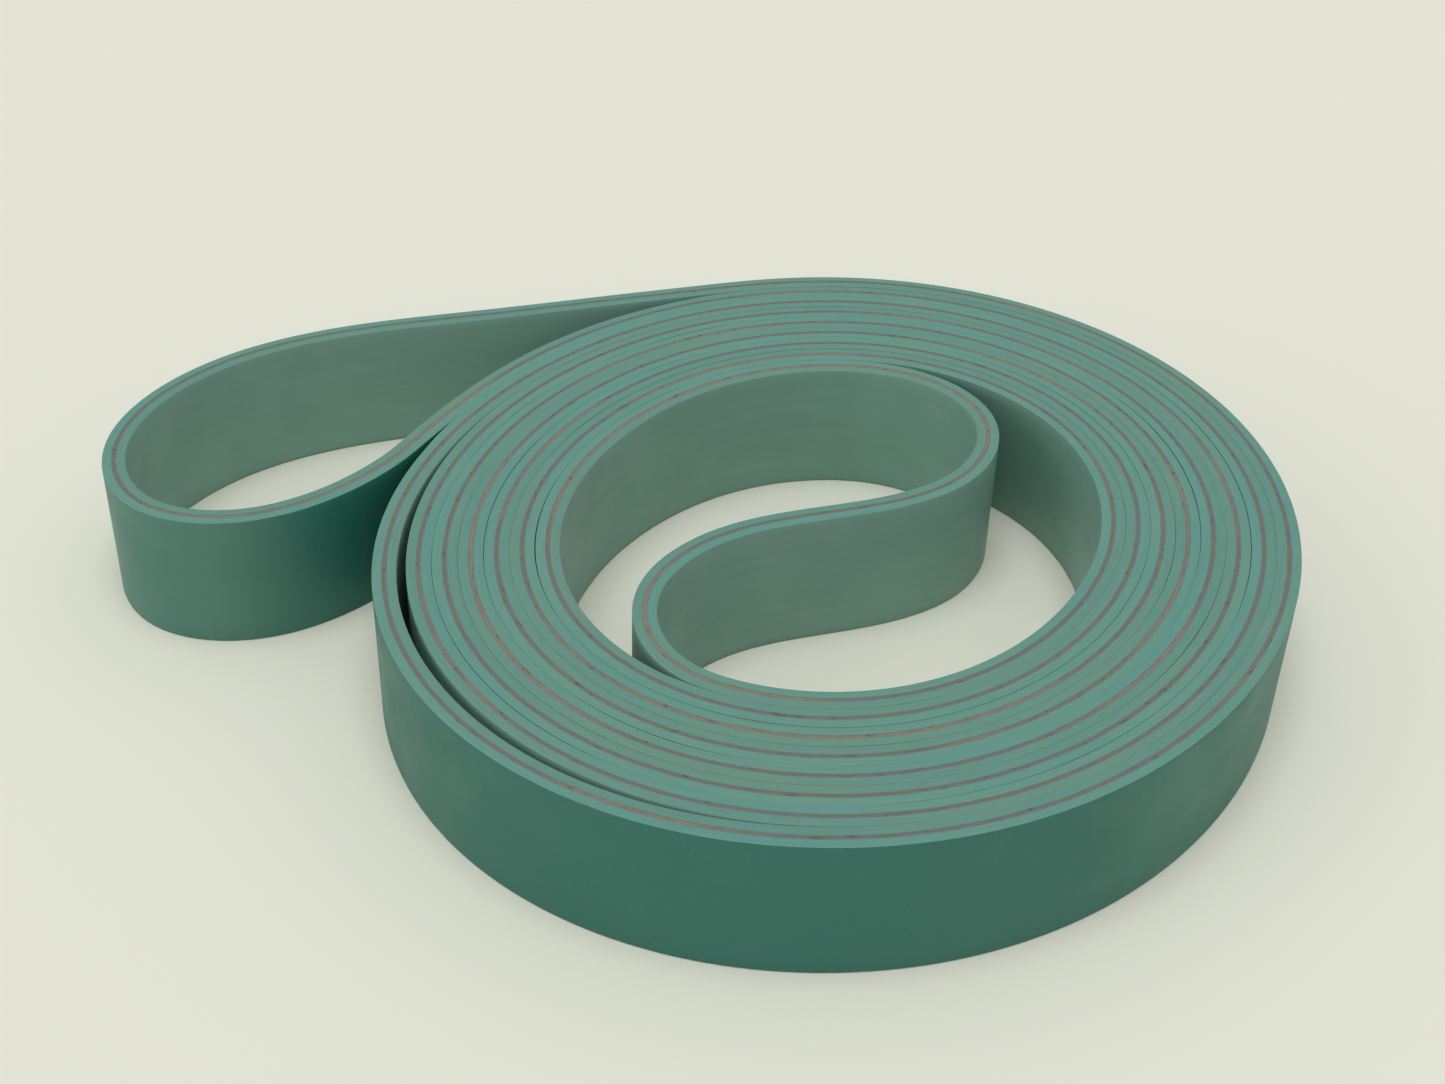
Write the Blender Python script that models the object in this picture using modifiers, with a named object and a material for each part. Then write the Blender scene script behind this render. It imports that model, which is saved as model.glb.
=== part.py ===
"""A coiled endless flat drive belt, built ply by ply.

The belt is one closed loop of laminated strip. It stands on its edge: it is doubled over, and the
double strand is wound clockwise into a coil. Outside the coil the two strands join in a wide bight.
Inside it they join in an S-shaped fold. Every ply follows the same line, at its own distance from it.

Metres, +Z up. The origin is under the centre of the belt's bounding box, on the surface it rests on.
"""

import math

import bpy

MM = 0.001

# The strip
BELT_WIDTH = 30.0 * MM
COVER_THICKNESS = 1.725 * MM
FABRIC_THICKNESS = 0.25 * MM
CORE_THICKNESS = 0.45 * MM
BOND_GAP = 0.1 * MM

# The coil, about its own centre. Depth 0 is the outermost layer, and each layer further in adds 1.
COIL_RADIUS = 98.6 * MM
COIL_OVALITY = 5.1 * MM
OVAL_ANGLE = math.radians(61.0)
LAYER_PITCH = 5.12 * MM
PITCH_SWING = 0.12 * MM
PITCH_SWING_ANGLE = math.radians(45.0)
SLACK_GAP = 1.7 * MM
SLACK_START = 0.48
SLACK_END = 0.86
STEPS_PER_TURN = 40

# Where each strand lies in the coil, in clockwise turns from the back (+Y)
OUTER_STRAND = (-0.025, 4.025)
INNER_STRAND = (-0.175, 3.55)
INNER_STRAND_DEPTH = 1.0

# Control points of the two bends that join the strands, in millimetres from the coil's centre
INNER_FOLD = (
    (19.5, 57.5), (29, 51), (35, 40), (34.5, 27), (28, 14.5), (16, 6),
    (1.5, 1), (-12.5, -3), (-25, -9.5), (-34.5, -20), (-38.5, -32.5), (-36, -45), (-29, -54),
)
OUTER_BIGHT = (
    (-88, 26.5), (-92, 17), (-98, 8), (-106, -0.5), (-117, -7.5), (-130, -9.5), (-142, -5.5),
    (-150, 4.5), (-153.2, 17.5), (-151.4, 30.7), (-145.2, 43.8), (-134.3, 56.2), (-119.5, 65.7),
    (-102.8, 72.3), (-85, 77.4), (-67, 82.9), (-49.5, 88.6), (-33.5, 93.4),
)
SAMPLES_PER_BEND_SPAN = 2


def coil_point(turn, depth):
    """A point of the coil, after so many clockwise turns, at so many layers in from the outside."""
    angle = math.pi / 2 - 2 * math.pi * turn
    pitch = LAYER_PITCH + PITCH_SWING * math.cos(2 * (angle - PITCH_SWING_ANGLE))
    radius = COIL_RADIUS + COIL_OVALITY * math.cos(2 * (angle - OVAL_ANGLE)) - depth * pitch
    if SLACK_START < turn < SLACK_END and depth < 2:
        phase = (turn - SLACK_START) / (SLACK_END - SLACK_START)
        radius += SLACK_GAP * math.sin(math.pi * phase) ** 2
    return radius * math.cos(angle), radius * math.sin(angle)


def strand_points(turns, first_depth):
    """The control points of one strand of the coil, which moves in by two layers a turn."""
    first, last = (round(turn * STEPS_PER_TURN) for turn in turns)
    points = []
    for step in range(first, last + 1):
        turn = step / STEPS_PER_TURN
        points.append(coil_point(turn, first_depth + 2 * turn))
    return points


def bend_points(bend):
    return [(x * MM, y * MM) for x, y in bend]


def control_points():
    """The belt's whole line as control points, each with the samples its span takes."""
    outer = strand_points(OUTER_STRAND, 0)
    inner = strand_points(INNER_STRAND, INNER_STRAND_DEPTH)
    stretches = (
        (outer, 1),
        (bend_points(INNER_FOLD), SAMPLES_PER_BEND_SPAN),
        (inner[::-1], 1),
        (bend_points(OUTER_BIGHT), SAMPLES_PER_BEND_SPAN),
    )
    return [(point, samples) for points, samples in stretches for point in points]


def spline_point(controls, t):
    """The position and the direction on one span of a uniform cubic B-spline."""
    weights = ((1 - t) ** 3, 3 * t**3 - 6 * t**2 + 4, -3 * t**3 + 3 * t**2 + 3 * t + 1, t**3)
    slopes = (-((1 - t) ** 2), 3 * t**2 - 4 * t, -3 * t**2 + 2 * t + 1, t**2)
    position = [sum(w * p[axis] for w, p in zip(weights, controls)) / 6 for axis in (0, 1)]
    direction = [sum(s * p[axis] for s, p in zip(slopes, controls)) / 2 for axis in (0, 1)]
    return position, direction


def belt_line():
    """Stations along the belt's middle line: each is a position and the unit normal to its left."""
    controls = control_points()
    count = len(controls)
    stations = []
    for i in range(count):
        span = [controls[(i + k) % count][0] for k in range(4)]
        samples = max(controls[(i + 1) % count][1], controls[(i + 2) % count][1])
        for sample in range(samples):
            (x, y), (dx, dy) = spline_point(span, sample / samples)
            length = math.hypot(dx, dy)
            stations.append(((x, y), (-dy / length, dx / length)))
    return stations


def centred(stations):
    """The stations moved so that the belt's bounding box is centred on the origin."""
    reach = belt_thickness() / 2
    xs = [x + side * reach * nx for (x, _), (nx, _) in stations for side in (-1, 1)]
    ys = [y + side * reach * ny for (_, y), (_, ny) in stations for side in (-1, 1)]
    mid_x = (min(xs) + max(xs)) / 2
    mid_y = (min(ys) + max(ys)) / 2
    return [((x - mid_x, y - mid_y), normal) for (x, y), normal in stations]


def plies():
    """Each ply's name, thickness and material, from the outside of the loop to its inside."""
    cover = ("green_elastomer", (0.10, 0.30, 0.23, 1.0), 0.55)
    fabric = ("brown_fabric", (0.17, 0.11, 0.10, 1.0), 0.85)
    core = ("polyamide_core", (0.30, 0.22, 0.18, 1.0), 0.5)
    return (
        ("outer_cover", COVER_THICKNESS, cover),
        ("outer_fabric", FABRIC_THICKNESS, fabric),
        ("traction_core", CORE_THICKNESS, core),
        ("inner_fabric", FABRIC_THICKNESS, fabric),
        ("inner_cover", COVER_THICKNESS, cover),
    )


def belt_thickness():
    thicknesses = [thickness for _, thickness, _ in plies()]
    return sum(thicknesses) + BOND_GAP * (len(thicknesses) - 1)


def principled(name, color, roughness):
    material = bpy.data.materials.get(name)
    if material is None:
        material = bpy.data.materials.new(name)
        material.use_nodes = True
        shader = material.node_tree.nodes["Principled BSDF"]
        shader.inputs["Base Color"].default_value = color
        shader.inputs["Roughness"].default_value = roughness
        shader.inputs["Metallic"].default_value = 0.0
    return material


def add_ply(collection, name, stations, offset, thickness, material):
    """One ply: a ribbon on edge along the line, at its own offset, thickened with Solidify."""
    curve = bpy.data.curves.new(name, "CURVE")
    curve.dimensions = "2D"
    curve.fill_mode = "NONE"
    curve.extrude = BELT_WIDTH / 2
    spline = curve.splines.new("POLY")
    spline.points.add(len(stations) - 1)
    for point, ((x, y), (nx, ny)) in zip(spline.points, stations):
        point.co = (x + offset * nx, y + offset * ny, 0, 1)
    spline.use_cyclic_u = True
    curve.materials.append(principled(*material))
    ply = bpy.data.objects.new(name, curve)
    ply.location.z = BELT_WIDTH / 2
    shell = ply.modifiers.new("ply_thickness", "SOLIDIFY")
    shell.thickness = thickness
    shell.offset = 0
    collection.objects.link(ply)


def build():
    for old in list(bpy.data.objects):
        bpy.data.objects.remove(old)
    collection = bpy.data.collections.new("coiled_drive_belt")
    bpy.context.scene.collection.children.link(collection)
    stations = centred(belt_line())
    face = belt_thickness() / 2
    for name, thickness, material in plies():
        add_ply(collection, name, stations, face - thickness / 2, thickness, material)
        face -= thickness + BOND_GAP


build()
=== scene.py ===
"""The finished look of a coiled endless flat drive belt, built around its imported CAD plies.

The belt is a closed loop of laminated strip on its edge, doubled over and wound into a coil.
Every ply is meshed here again, far more finely, along the same line as in the CAD, and stands
for its CAD node. Lengths are in metres and angles in radians, unless a name says otherwise.
"""

import math
from typing import NamedTuple

import bpy
import numpy as np
from mathutils import Matrix, Vector


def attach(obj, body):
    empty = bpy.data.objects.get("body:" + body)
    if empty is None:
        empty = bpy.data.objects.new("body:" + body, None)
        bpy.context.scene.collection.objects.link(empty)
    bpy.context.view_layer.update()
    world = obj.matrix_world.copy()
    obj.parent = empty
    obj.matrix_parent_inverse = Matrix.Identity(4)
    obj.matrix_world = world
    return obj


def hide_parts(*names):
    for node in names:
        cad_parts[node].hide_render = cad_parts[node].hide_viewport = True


MM = 0.001

# The strip. The plies meet here with no gaps for the bonds, so the distances from the middle line
# at which they meet differ a little from the CAD's.
BELT_WIDTH = 30.0 * MM
CORE_REACH = 0.26 * MM
FABRIC_REACH = 0.53 * MM
FACE_REACH = 2.4 * MM
CORE_RECESS = 0.04 * MM
FABRIC_RECESS = 0.015 * MM
ARRIS_FREE = 0.16 * MM
ARRIS_PRESSED = 0.03 * MM
ARRIS_STEPS = 3
WALL_LEVELS = (0.06, 0.2, 0.4, 0.6, 0.8, 0.94)

# The top edge isn't quite level: it rises and falls in so many waves along the belt
TOP_WAVE = 0.12 * MM
TOP_WAVE_CYCLES = (3, 7, 13, 22)
TOP_WAVE_SEED = 11

# How turns that lie side by side press together: the gap that stays between them comes and goes
FULLEST_REACH = 2.58 * MM
TIGHT_GAP = 0.004 * MM
LOOSE_GAP = 0.30 * MM
PRESSED_SLACK = 0.6 * MM
LOOSENESS_MEAN = 0.12
LOOSENESS_AT_SIDES = 0.22
LOOSENESS_WAVE = 0.75
LOOSENESS_LOBES = (3, 5, 8)
LOOSENESS_SEED = 4

# The next turn is looked for within this reach, this near to a station's normal, and at least this
# far from the station along the belt
NEIGHBOUR_REACH = 8.0 * MM
NEIGHBOUR_SIDEWAYS = 1.6 * MM
NEIGHBOUR_RUN = 30.0 * MM
SMOOTHING_STATIONS = 9

# How much painted light the faces get, a paler tone standing in for brighter light, at so far
# from the coil's centre: most round the hole, none on the middle turns, some out at the bight
PAINTED_LIGHT_RADII = (62.0 * MM, 92.0 * MM, 104.0 * MM, 125.0 * MM)
PAINTED_LIGHT_SHARES = (1.0, 0.0, 0.0, 0.28)

# The coil, about its own centre, as in the CAD. Strands run in clockwise turns from the back.
COIL_RADIUS = 98.6 * MM
COIL_OVALITY = 5.1 * MM
OVAL_ANGLE = math.radians(61.0)
LAYER_PITCH = 5.12 * MM
PITCH_SWING = 0.12 * MM
PITCH_SWING_ANGLE = math.radians(45.0)
SLACK_GAP = 1.7 * MM
SLACK_START = 0.48
SLACK_END = 0.86
STEPS_PER_TURN = 40
OUTER_STRAND = (-0.025, 4.025)
INNER_STRAND = (-0.175, 3.55)
INNER_STRAND_DEPTH = 1.0
SAMPLES_PER_SPAN = 6

# Control points of the two bends that join the strands, in millimetres from the coil's centre
INNER_FOLD = (
    (19.5, 57.5), (29, 51), (35, 40), (34.5, 27), (28, 14.5), (16, 6),
    (1.5, 1), (-12.5, -3), (-25, -9.5), (-34.5, -20), (-38.5, -32.5), (-36, -45), (-29, -54),
)
OUTER_BIGHT = (
    (-88, 26.5), (-92, 17), (-98, 8), (-106, -0.5), (-117, -7.5), (-130, -9.5), (-142, -5.5),
    (-150, 4.5), (-153.2, 17.5), (-151.4, 30.7), (-145.2, 43.8), (-134.3, 56.2), (-119.5, 65.7),
    (-102.8, 72.3), (-85, 77.4), (-67, 82.9), (-49.5, 88.6), (-33.5, 93.4),
)

# The rubber's colours, linear, with alpha
OUTER_WALL = (0.018, 0.150, 0.111, 1)
# The outer walls' colour under the full painted light, a paler tone painted on for brighter light
OUTER_WALL_PAINTED_LIGHT = (0.195, 0.355, 0.292, 1)
OUTER_EDGE = (0.118, 0.280, 0.219, 1)
OUTER_EDGE_COOL = (0.101, 0.275, 0.231, 1)
# The inner cover's walls face the hole and the bight's inside, and are painted far paler than the
# outer cover's: painted light, a lit copy of the same green rubber
INNER_WALL_LIT = (0.215, 0.385, 0.315, 1)
# The inner walls' colour under the full painted light, a paler tone painted on for brighter light
INNER_WALL_PAINTED_LIGHT = (0.190, 0.355, 0.288, 1)
INNER_EDGE = (0.120, 0.264, 0.203, 1)
INNER_EDGE_COOL = (0.103, 0.259, 0.212, 1)
STREAK_SHADE = (0.05, 0.13, 0.10, 1)
STREAK_LIGHT = (0.30, 0.46, 0.38, 1)
MOTTLE_SHADE = (0.03, 0.11, 0.085, 1)
BAND_SHADE = (0.03, 0.12, 0.09, 1)
GRAIN_LIGHT = (0.16, 0.30, 0.24, 1)
# A paler tone painted along the arrises: painted highlight and wear
ARRIS_HIGHLIGHT_AND_WEAR = (0.24, 0.42, 0.35, 1)

# The brown plies' colours
FABRIC_BASE = (0.128, 0.195, 0.160, 1)
FABRIC_LIGHT = (0.155, 0.190, 0.150, 1)
FABRIC_DARK = (0.07, 0.10, 0.085, 1)
CORE_BASE = (0.158, 0.146, 0.133, 1)
CORE_LIGHT = (0.235, 0.190, 0.140, 1)
CORE_DARK = (0.080, 0.075, 0.072, 1)

# Depths of the grain, the cut edge's streaks and the brown plies' fibres
GRAIN_BUMP = 0.01 * MM
STREAK_BUMP = 0.06 * MM
FIBRE_BUMP = 0.08 * MM

# The floor, and the room: an even dome that grows brighter between two heights of direction, down
# to the horizon
FLOOR_COLOR = (0.732, 0.740, 0.639, 1)
FLOOR_REACH = 80.0
FLOOR_DROP = 0.15 * MM
HORIZON_HEIGHTS = (0.02, 0.16)
HORIZON_STRENGTH = 0.77
DOME_STRENGTH = 0.56

# The camera
CAMERA_PLACE = (0.00649, -0.34505, 0.26393)
CAMERA_TILT = math.radians(35.26)
CAMERA_ROLL = math.radians(-1.862)
CAMERA_NEAR = 0.01
LENS_MM = 50.26
SENSOR_MM = 36.0


class Line(NamedTuple):
    """The belt's middle line: stations, unit normals to its left, and the length run to each."""

    place: np.ndarray
    normal: np.ndarray
    run: np.ndarray
    length: float
    coil_centre: np.ndarray


class OutlinePoint(NamedTuple):
    """A point of a ply's section.

    share goes from the ply's inner side, 0, to its face, 1, and level from the belt's foot to its
    top. inset draws the point back from the face, and lift raises it, both in arris radii. cut is
    1 on the two cut edges and 0 on the walls. The shading breaks at a sharp point.
    """

    share: float
    inset: float
    level: float
    lift: float
    cut: float
    sharp: bool


def coil_point(turn, depth):
    """A point of the coil, after so many clockwise turns, at so many layers in from the outside."""
    angle = math.pi / 2 - 2 * math.pi * turn
    pitch = LAYER_PITCH + PITCH_SWING * math.cos(2 * (angle - PITCH_SWING_ANGLE))
    radius = COIL_RADIUS + COIL_OVALITY * math.cos(2 * (angle - OVAL_ANGLE)) - depth * pitch
    if SLACK_START < turn < SLACK_END and depth < 2:
        phase = (turn - SLACK_START) / (SLACK_END - SLACK_START)
        radius += SLACK_GAP * math.sin(math.pi * phase) ** 2
    return radius * math.cos(angle), radius * math.sin(angle)


def strand_points(turns, first_depth):
    """The control points of one strand of the coil, which moves in by two layers a turn."""
    first, last = (round(turn * STEPS_PER_TURN) for turn in turns)
    steps = [step / STEPS_PER_TURN for step in range(first, last + 1)]
    return [coil_point(turn, first_depth + 2 * turn) for turn in steps]


def belt_line():
    """The line as a closed uniform cubic B-spline, with the belt's box centred on the origin."""
    outer = strand_points(OUTER_STRAND, 0)
    inner = strand_points(INNER_STRAND, INNER_STRAND_DEPTH)
    fold = [(x * MM, y * MM) for x, y in INNER_FOLD]
    bight = [(x * MM, y * MM) for x, y in OUTER_BIGHT]
    controls = np.array(outer + fold + inner[::-1] + bight)
    t = np.arange(SAMPLES_PER_SPAN) / SAMPLES_PER_SPAN
    weights = ((1 - t) ** 3, 3 * t**3 - 6 * t**2 + 4, -3 * t**3 + 3 * t**2 + 3 * t + 1, t**3)
    slopes = (-((1 - t) ** 2), 3 * t**2 - 4 * t, -3 * t**2 + 2 * t + 1, t**2)
    spans = [np.roll(controls, -k, axis=0)[:, None] for k in range(4)]
    place = sum(w[None, :, None] * span for w, span in zip(weights, spans)).reshape(-1, 2) / 6
    slope = sum(s[None, :, None] * span for s, span in zip(slopes, spans)).reshape(-1, 2)
    slope /= np.linalg.norm(slope, axis=1)[:, None]
    normal = np.stack([-slope[:, 1], slope[:, 0]], axis=1)
    edges = np.concatenate([place + FACE_REACH * normal, place - FACE_REACH * normal])
    middle = (edges.min(0) + edges.max(0)) / 2
    place -= middle
    steps = np.linalg.norm(np.roll(place, -1, axis=0) - place, axis=1)
    run = np.concatenate([[0.0], np.cumsum(steps)])
    return Line(place, normal, run[:-1], run[-1], -middle)


def coil_waves(angle, depth, lobes, seed):
    """Smooth values from about -1 to 1 over the coil, with so many lobes round each turn."""
    rng = np.random.default_rng(seed)
    total = np.zeros_like(angle)
    for count in lobes:
        drift, phase = rng.uniform(1.4, 2.9), rng.uniform(0, 2 * math.pi)
        total += np.sin(count * angle + drift * depth + phase)
    return total / len(lobes)


def ring_waves(line, cycles, seed):
    """Smooth values from about -1 to 1 along the closed belt, with so many cycles in its length."""
    rng = np.random.default_rng(seed)
    total = np.zeros_like(line.run)
    for count in cycles:
        total += np.sin(2 * math.pi * (line.run * count / line.length + rng.uniform()))
    return total / len(cycles)


def neighbour_distance(line, side):
    """How far each station is from the next turn on one side, or the search's reach without one."""
    found = np.full(len(line.place), NEIGHBOUR_REACH)
    for i, (place, normal) in enumerate(zip(line.place, line.normal)):
        gap = line.place - place
        apart = np.abs(line.run - line.run[i])
        apart = np.minimum(apart, line.length - apart)
        out = side * (gap @ normal)
        sideways = np.abs(gap @ np.array([normal[1], -normal[0]]))
        near = (out > 0) & (out < NEIGHBOUR_REACH) & (sideways < NEIGHBOUR_SIDEWAYS)
        near &= apart > NEIGHBOUR_RUN
        if near.any():
            found[i] = out[near].min()
    kernel = np.hanning(SMOOTHING_STATIONS)
    wrap = SMOOTHING_STATIONS // 2
    wrapped = np.concatenate([found[-wrap:], found, found[:wrap]])
    return np.convolve(wrapped, kernel / kernel.sum(), mode="valid")


def faces(line):
    """Each face's distance from the middle line, and its arris, by side.

    Side 1 is the loop's outside and -1 its inside.
    """
    found = {}
    for side in (1, -1):
        distance = neighbour_distance(line, side)
        between = line.place + side * (distance / 2)[:, None] * line.normal - line.coil_centre
        angle = np.arctan2(between[:, 1], between[:, 0])
        depth = (COIL_RADIUS - np.hypot(between[:, 0], between[:, 1])) / LAYER_PITCH
        waves = coil_waves(angle, depth, LOOSENESS_LOBES, LOOSENESS_SEED)
        looseness = LOOSENESS_MEAN + LOOSENESS_AT_SIDES * np.cos(2 * angle)
        looseness = looseness + LOOSENESS_WAVE * waves
        gap = TIGHT_GAP + (LOOSE_GAP - TIGHT_GAP) * np.clip(looseness, 0, 1) ** 2
        room = (distance - gap) / 2
        free = np.clip(room - FULLEST_REACH, 0, PRESSED_SLACK) / PRESSED_SLACK
        reach = np.minimum(FULLEST_REACH, room)
        reach = reach + (FACE_REACH - FULLEST_REACH) * free * free * (3 - 2 * free)
        found[side] = reach, ARRIS_PRESSED + (ARRIS_FREE - ARRIS_PRESSED) * free
    return found


def section(kind):
    """One ply's outline, from the foot of its inner side round by its face to its inner top."""
    if kind != "cover":
        recess = (CORE_RECESS if kind == "core" else FABRIC_RECESS) / BELT_WIDTH
        sides = ((0, recess), (1, recess), (1, 1 - recess), (0, 1 - recess))
        return [OutlinePoint(share, 0, level, 0, 1, True) for share, level in sides]
    outline = [OutlinePoint(0, 0, 0, 0, 1, True)]
    turns = [step / ARRIS_STEPS for step in range(ARRIS_STEPS + 1)]
    for turn in turns:
        away, rise = 1 - math.sin(turn * math.pi / 2), 1 - math.cos(turn * math.pi / 2)
        outline.append(OutlinePoint(1, away, 0, rise, 1 - turn, False))
    outline += [OutlinePoint(1, 0, level, 0, 0, False) for level in WALL_LEVELS]
    for turn in turns:
        away, drop = 1 - math.cos(turn * math.pi / 2), 1 - math.sin(turn * math.pi / 2)
        outline.append(OutlinePoint(1, away, 1, -drop, turn, False))
    outline.append(OutlinePoint(0, 0, 1, 0, 1, True))
    return outline


def ply_mesh(name, line, inner, face, arris, kind, side):
    """A closed ring with a ply's section, from its inner side's offset to its face's.

    The surfaces read four attributes from it: belt, the place on a round ring as long as the belt;
    rise, the height above the foot; cut, as in the section; and the share of painted light, which
    makes the walls paler.
    """
    outline = section(kind)
    count, around = len(line.place), len(outline)
    turn = 2 * math.pi * line.run / line.length
    ring = line.length / (2 * math.pi)
    top_wave = TOP_WAVE * ring_waves(line, TOP_WAVE_CYCLES, TOP_WAVE_SEED)
    coords = np.zeros((count, around, 3))
    belt = np.zeros((count, around, 3))
    rises = np.zeros((count, around))
    for k, point in enumerate(outline):
        offset = inner + point.share * (face - inner) - side * point.inset * arris
        rises[:, k] = point.level * BELT_WIDTH + point.lift * arris
        coords[:, k, :2] = line.place + offset[:, None] * line.normal
        coords[:, k, 2] = rises[:, k] + top_wave * point.level
        belt[:, k] = np.stack([ring * np.cos(turn), ring * np.sin(turn), offset], axis=1)
    here = np.arange(count)[:, None] * around
    after = np.roll(here, -1, axis=0)
    up = np.arange(around)[None]
    above = (up + 1) % around
    quads = np.stack([here + up, after + up, after + above, here + above], axis=-1).reshape(-1, 4)
    if side > 0:
        quads = quads[:, ::-1]
    mesh = bpy.data.meshes.new(name)
    mesh.from_pydata(coords.reshape(-1, 3).tolist(), [], quads.tolist())
    mesh.update()
    mesh.shade_smooth()
    corner = np.array([point.sharp for point in outline])
    ends = np.zeros(len(mesh.edges) * 2, np.int32)
    mesh.edges.foreach_get("vertices", ends)
    ends = ends.reshape(-1, 2) % around
    sharp = corner[ends[:, 0]] & (ends[:, 0] == ends[:, 1])
    mesh.attributes.new("sharp_edge", "BOOLEAN", "EDGE").data.foreach_set("value", sharp)
    cuts = np.tile([point.cut for point in outline], count)
    radius = np.linalg.norm(line.place - line.coil_centre, axis=1)
    # The painted light's share, by distance from the coil's centre
    painted_light_shares = np.repeat(np.interp(radius, PAINTED_LIGHT_RADII, PAINTED_LIGHT_SHARES), around)
    for label, values in (("rise", rises.ravel()), ("cut", cuts), ("painted_light", painted_light_shares)):
        attribute = mesh.attributes.new(label, "FLOAT", "POINT")
        attribute.data.foreach_set("value", values.astype(np.float32))
    vectors = mesh.attributes.new("belt", "FLOAT_VECTOR", "POINT")
    vectors.data.foreach_set("vector", belt.ravel().astype(np.float32))
    return mesh


class Surface:
    """A material's node tree with short calls for the nodes used here."""

    def __init__(self, name):
        self.material = bpy.data.materials.new(name)
        self.material.use_nodes = True
        self.tree = self.material.node_tree
        self.shader = self.tree.nodes["Principled BSDF"]

    def node(self, kind, inputs=(), **settings):
        node = self.tree.nodes.new(kind)
        for key, value in settings.items():
            setattr(node, key, value)
        for key, value in dict(inputs).items():
            self.put(node.inputs[key], value)
        return node

    def put(self, socket, value):
        if isinstance(value, bpy.types.NodeSocket):
            self.tree.links.new(value, socket)
        else:
            socket.default_value = value

    def attribute(self, name, output):
        return self.node("ShaderNodeAttribute", attribute_name=name).outputs[output]

    def math(self, operation, first, second):
        inputs = {0: first, 1: second}
        return self.node("ShaderNodeMath", inputs, operation=operation).outputs[0]

    def stretch(self, vector, scale):
        inputs = {0: vector, 1: scale}
        return self.node("ShaderNodeVectorMath", inputs, operation="MULTIPLY").outputs[0]

    def noise(self, vector, height, per_metre, detail=2.0, roughness=0.5):
        inputs = {
            "Vector": vector,
            "W": height,
            "Scale": per_metre,
            "Detail": detail,
            "Roughness": roughness,
        }
        return self.node("ShaderNodeTexNoise", inputs, noise_dimensions="4D").outputs["Fac"]

    def span(self, value, start, end, low=0.0, high=1.0):
        """The value eased from one range to another, and held at its ends."""
        inputs = {"Value": value, "From Min": start, "From Max": end, "To Min": low, "To Max": high}
        node = self.node("ShaderNodeMapRange", inputs, interpolation_type="SMOOTHSTEP")
        return node.outputs["Result"]

    def mix(self, factor, first, second):
        node = self.node("ShaderNodeMix", data_type="RGBA")
        for index, value in ((0, factor), (6, first), (7, second)):
            self.put(node.inputs[index], value)
        return node.outputs[2]

    def bump(self, height, distance, normal=None):
        inputs = {"Height": height, "Distance": distance, "Strength": 1.0}
        if normal is not None:
            inputs["Normal"] = normal
        return self.node("ShaderNodeBump", inputs).outputs[0]


def elastomer(name, wall, wall_painted_light, edge, edge_cool):
    """Green rubber: smooth, satin faces, and paler, duller, finely streaked cut edges."""
    s = Surface(name)
    belt, rise = s.attribute("belt", "Vector"), s.attribute("rise", "Fac")
    cut, painted_light = s.attribute("cut", "Fac"), s.attribute("painted_light", "Fac")
    slow = s.noise(s.stretch(belt, (1, 1, 0)), 0.0, per_metre=14.0)
    streak = s.noise(s.stretch(belt, (1, 1, 40)), 0.0, per_metre=90.0, detail=4.0, roughness=0.6)
    fine = s.noise(s.stretch(belt, (1, 1, 25)), 0.0, per_metre=320.0, detail=3.0, roughness=0.6)
    grain = s.noise(belt, rise, per_metre=2600.0, detail=3.0, roughness=0.6)
    mottle = s.noise(belt, rise, per_metre=70.0, detail=4.0, roughness=0.55)
    lengthwise = s.stretch(belt, (0.03, 0.03, 0))
    band = s.noise(lengthwise, rise, per_metre=700.0, detail=3.0, roughness=0.6)

    edge_color = s.mix(s.span(slow, 0.35, 0.65), edge, edge_cool)
    edge_color = s.mix(s.span(streak, 0.3, 0.75, high=0.22), edge_color, STREAK_SHADE)
    edge_color = s.mix(s.span(fine, 0.55, 0.8, high=0.25), edge_color, STREAK_LIGHT)
    # Painted light: the walls are painted paler by the painted light's share, most round the hole
    wall_color = s.mix(painted_light, wall, wall_painted_light)
    wall_color = s.mix(s.span(mottle, 0.3, 0.7, high=0.09), wall_color, MOTTLE_SHADE)
    wall_color = s.mix(s.span(band, 0.35, 0.7, high=0.07), wall_color, BAND_SHADE)
    wall_color = s.mix(s.span(grain, 0.3, 0.8, high=0.10), wall_color, GRAIN_LIGHT)
    color = s.mix(s.span(cut, 0.15, 0.85), wall_color, edge_color)
    # Each arris is painted paler, in patches along the belt: painted highlight and wear
    arris = s.math("MULTIPLY", s.span(cut, 0.05, 0.5), s.span(cut, 0.98, 0.5))
    highlight_and_wear = s.math("MULTIPLY", arris, s.span(streak, 0.35, 0.65, low=0.1, high=0.5))
    s.put(s.shader.inputs["Base Color"], s.mix(highlight_and_wear, color, ARRIS_HIGHLIGHT_AND_WEAR))

    satin = s.span(mottle, 0.3, 0.7, low=0.42, high=0.55)
    roughness = s.math("ADD", satin, s.span(cut, 0.2, 0.8, high=0.22))
    s.put(s.shader.inputs["Roughness"], roughness)
    s.shader.inputs["Specular IOR Level"].default_value = 0.42
    normal = s.bump(grain, GRAIN_BUMP)
    normal = s.bump(s.math("MULTIPLY", streak, cut), STREAK_BUMP, normal)
    s.put(s.shader.inputs["Normal"], normal)
    return s.material


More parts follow.
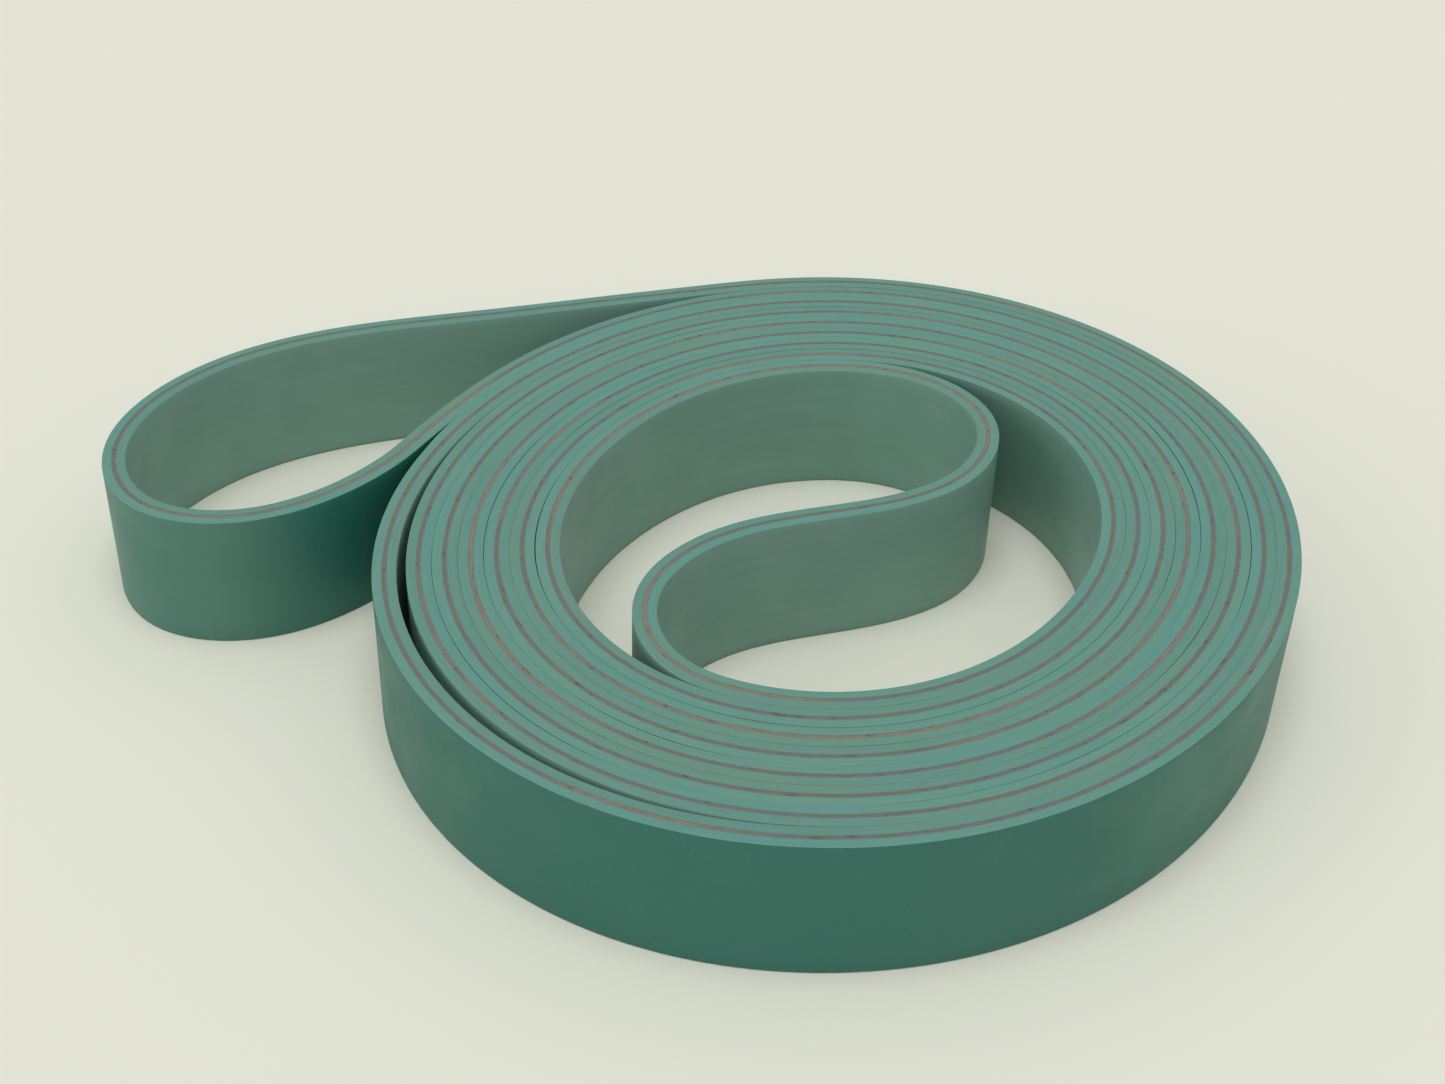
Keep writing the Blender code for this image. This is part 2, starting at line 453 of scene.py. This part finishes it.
def core_ply(name, base, light, dark, roughness, fibres_per_metre):
    """The brown plies' edges: drawn fibres and glue, in stretches of different tone, with nicks."""
    s = Surface(name)
    belt, rise = s.attribute("belt", "Vector"), s.attribute("rise", "Fac")
    tone = s.noise(s.stretch(belt, (1, 1, 0)), 0.0, per_metre=10.0, detail=3.0)
    drawn = s.stretch(belt, (1, 1, 12))
    fibre = s.noise(drawn, rise, per_metre=fibres_per_metre, detail=4.0, roughness=0.65)
    nick = s.noise(s.stretch(belt, (1, 1, 3)), rise, per_metre=420.0)
    color = s.mix(s.span(tone, 0.5, 0.6), base, light)
    color = s.mix(s.span(fibre, 0.45, 0.75, high=0.6), color, dark)
    # The nicks are painted dark as well as dented by the bump: painted shade in the dents
    color = s.mix(s.span(nick, 0.62, 0.72, high=0.75), color, dark)
    s.put(s.shader.inputs["Base Color"], color)
    dull = s.span(fibre, 0.3, 0.7, low=roughness, high=roughness + 0.15)
    s.put(s.shader.inputs["Roughness"], dull)
    s.shader.inputs["Specular IOR Level"].default_value = 0.3
    height = s.math("SUBTRACT", fibre, s.span(nick, 0.6, 0.72))
    s.put(s.shader.inputs["Normal"], s.bump(height, FIBRE_BUMP))
    return s.material


def build_belt(line):
    """The five plies, each from its inner side to its face, riding on the one body."""
    by_side = faces(line)
    outside, outside_arris = by_side[1]
    inside, inside_arris = by_side[-1]
    outer_cover = elastomer(
        "outer_elastomer", OUTER_WALL, OUTER_WALL_PAINTED_LIGHT, OUTER_EDGE, OUTER_EDGE_COOL
    )
    inner_cover = elastomer(
        "inner_elastomer", INNER_WALL_LIT, INNER_WALL_PAINTED_LIGHT, INNER_EDGE, INNER_EDGE_COOL
    )
    fabric_tones = (FABRIC_BASE, FABRIC_LIGHT, FABRIC_DARK)
    core_tones = (CORE_BASE, CORE_LIGHT, CORE_DARK)
    fabric = core_ply("edge_fabric", *fabric_tones, roughness=0.8, fibres_per_metre=500.0)
    core = core_ply("edge_core", *core_tones, roughness=0.6, fibres_per_metre=300.0)
    same = np.ones(len(line.place))
    fabric_face, core_face, none = FABRIC_REACH * same, CORE_REACH * same, 0 * same
    green, brown, polyamide = "green_elastomer", "brown_fabric", "polyamide_core"
    plies = (
        ("outer_cover", fabric_face, outside, outside_arris, "cover", 1, outer_cover, green),
        ("outer_fabric", core_face, fabric_face, none, "fabric", 1, fabric, brown),
        ("traction_core", -core_face, core_face, none, "core", 1, core, polyamide),
        ("inner_fabric", -core_face, -fabric_face, none, "fabric", -1, fabric, brown),
        ("inner_cover", -fabric_face, -inside, inside_arris, "cover", -1, inner_cover, green),
    )
    for node, inner, face, arris, kind, side, material, slot in plies:
        mesh = ply_mesh("belt_" + node, line, inner, face, arris, kind, side)
        mesh.materials.append(material)
        piece = bpy.data.objects.new("belt_" + node, mesh)
        bpy.context.scene.collection.objects.link(piece)
        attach(piece, "root")
        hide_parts(node)


def add_floor():
    """A plain pale floor, just under the belt, so wide that it reaches the horizon."""
    mesh = bpy.data.meshes.new("floor")
    sides = ((-1, -1), (1, -1), (1, 1), (-1, 1))
    places = [(x * FLOOR_REACH, y * FLOOR_REACH, -FLOOR_DROP) for x, y in sides]
    mesh.from_pydata(places, [], [(0, 1, 2, 3)])
    floor = bpy.data.objects.new("floor", mesh)
    bpy.context.scene.collection.objects.link(floor)
    s = Surface("pale_floor")
    s.shader.inputs["Base Color"].default_value = FLOOR_COLOR
    s.shader.inputs["Roughness"].default_value = 0.9
    s.shader.inputs["Specular IOR Level"].default_value = 0.1
    mesh.materials.append(s.material)


def add_light(name, direction, strength, spread):
    """A light so far away that it falls evenly, and so wide that its shadows are soft."""
    data = bpy.data.lights.new(name, "SUN")
    data.energy = strength
    data.angle = spread
    light = bpy.data.objects.new(name, data)
    light.rotation_mode = "QUATERNION"
    light.rotation_quaternion = Vector(direction).to_track_quat("Z", "Y")
    bpy.context.scene.collection.objects.link(light)


def add_world():
    """An even grey dome, brighter in a low band that meets the floor."""
    world = bpy.data.worlds.new("soft_room")
    world.use_nodes = True
    nodes, links = world.node_tree.nodes, world.node_tree.links
    place = nodes.new("ShaderNodeTexCoord")
    split = nodes.new("ShaderNodeSeparateXYZ")
    ease = nodes.new("ShaderNodeMapRange")
    ease.interpolation_type = "SMOOTHSTEP"
    ease.inputs["From Min"].default_value, ease.inputs["From Max"].default_value = HORIZON_HEIGHTS
    ease.inputs["To Min"].default_value = HORIZON_STRENGTH
    ease.inputs["To Max"].default_value = DOME_STRENGTH
    links.new(place.outputs["Generated"], split.inputs[0])
    links.new(split.outputs["Z"], ease.inputs["Value"])
    links.new(ease.outputs["Result"], nodes["Background"].inputs["Strength"])
    nodes["Background"].inputs["Color"].default_value = (1.0, 1.0, 1.0, 1)
    bpy.context.scene.world = world


def add_lights():
    add_light("high_key", (-0.1, -0.4, 3.0), strength=1.45, spread=math.radians(37.0))
    add_light("left_fill", (-2.5, -1.2, 1.1), strength=0.29, spread=math.radians(30.0))
    add_world()
    bpy.context.scene.view_settings.view_transform = "Standard"


def add_camera():
    """A camera above the front of the coil, tilted down to it and rolled a little."""
    data = bpy.data.cameras.new("camera")
    data.sensor_width = SENSOR_MM
    data.lens = LENS_MM
    data.clip_start = CAMERA_NEAR
    camera = bpy.data.objects.new("camera", data)
    forward = Vector((0, math.cos(CAMERA_TILT), -math.sin(CAMERA_TILT)))
    level = forward.to_track_quat("-Z", "Y").to_matrix().to_4x4()
    roll = Matrix.Rotation(-CAMERA_ROLL, 4, "Z")
    camera.matrix_world = Matrix.Translation(CAMERA_PLACE) @ level @ roll
    bpy.context.scene.collection.objects.link(camera)
    bpy.context.scene.camera = camera


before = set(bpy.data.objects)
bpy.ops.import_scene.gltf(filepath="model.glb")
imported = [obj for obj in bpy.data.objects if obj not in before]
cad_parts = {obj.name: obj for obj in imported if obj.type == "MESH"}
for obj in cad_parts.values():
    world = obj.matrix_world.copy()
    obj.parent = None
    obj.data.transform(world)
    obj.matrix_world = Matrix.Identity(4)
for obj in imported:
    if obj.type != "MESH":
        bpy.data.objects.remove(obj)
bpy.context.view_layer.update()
add_camera()
build_belt(belt_line())
add_floor()
add_lights()
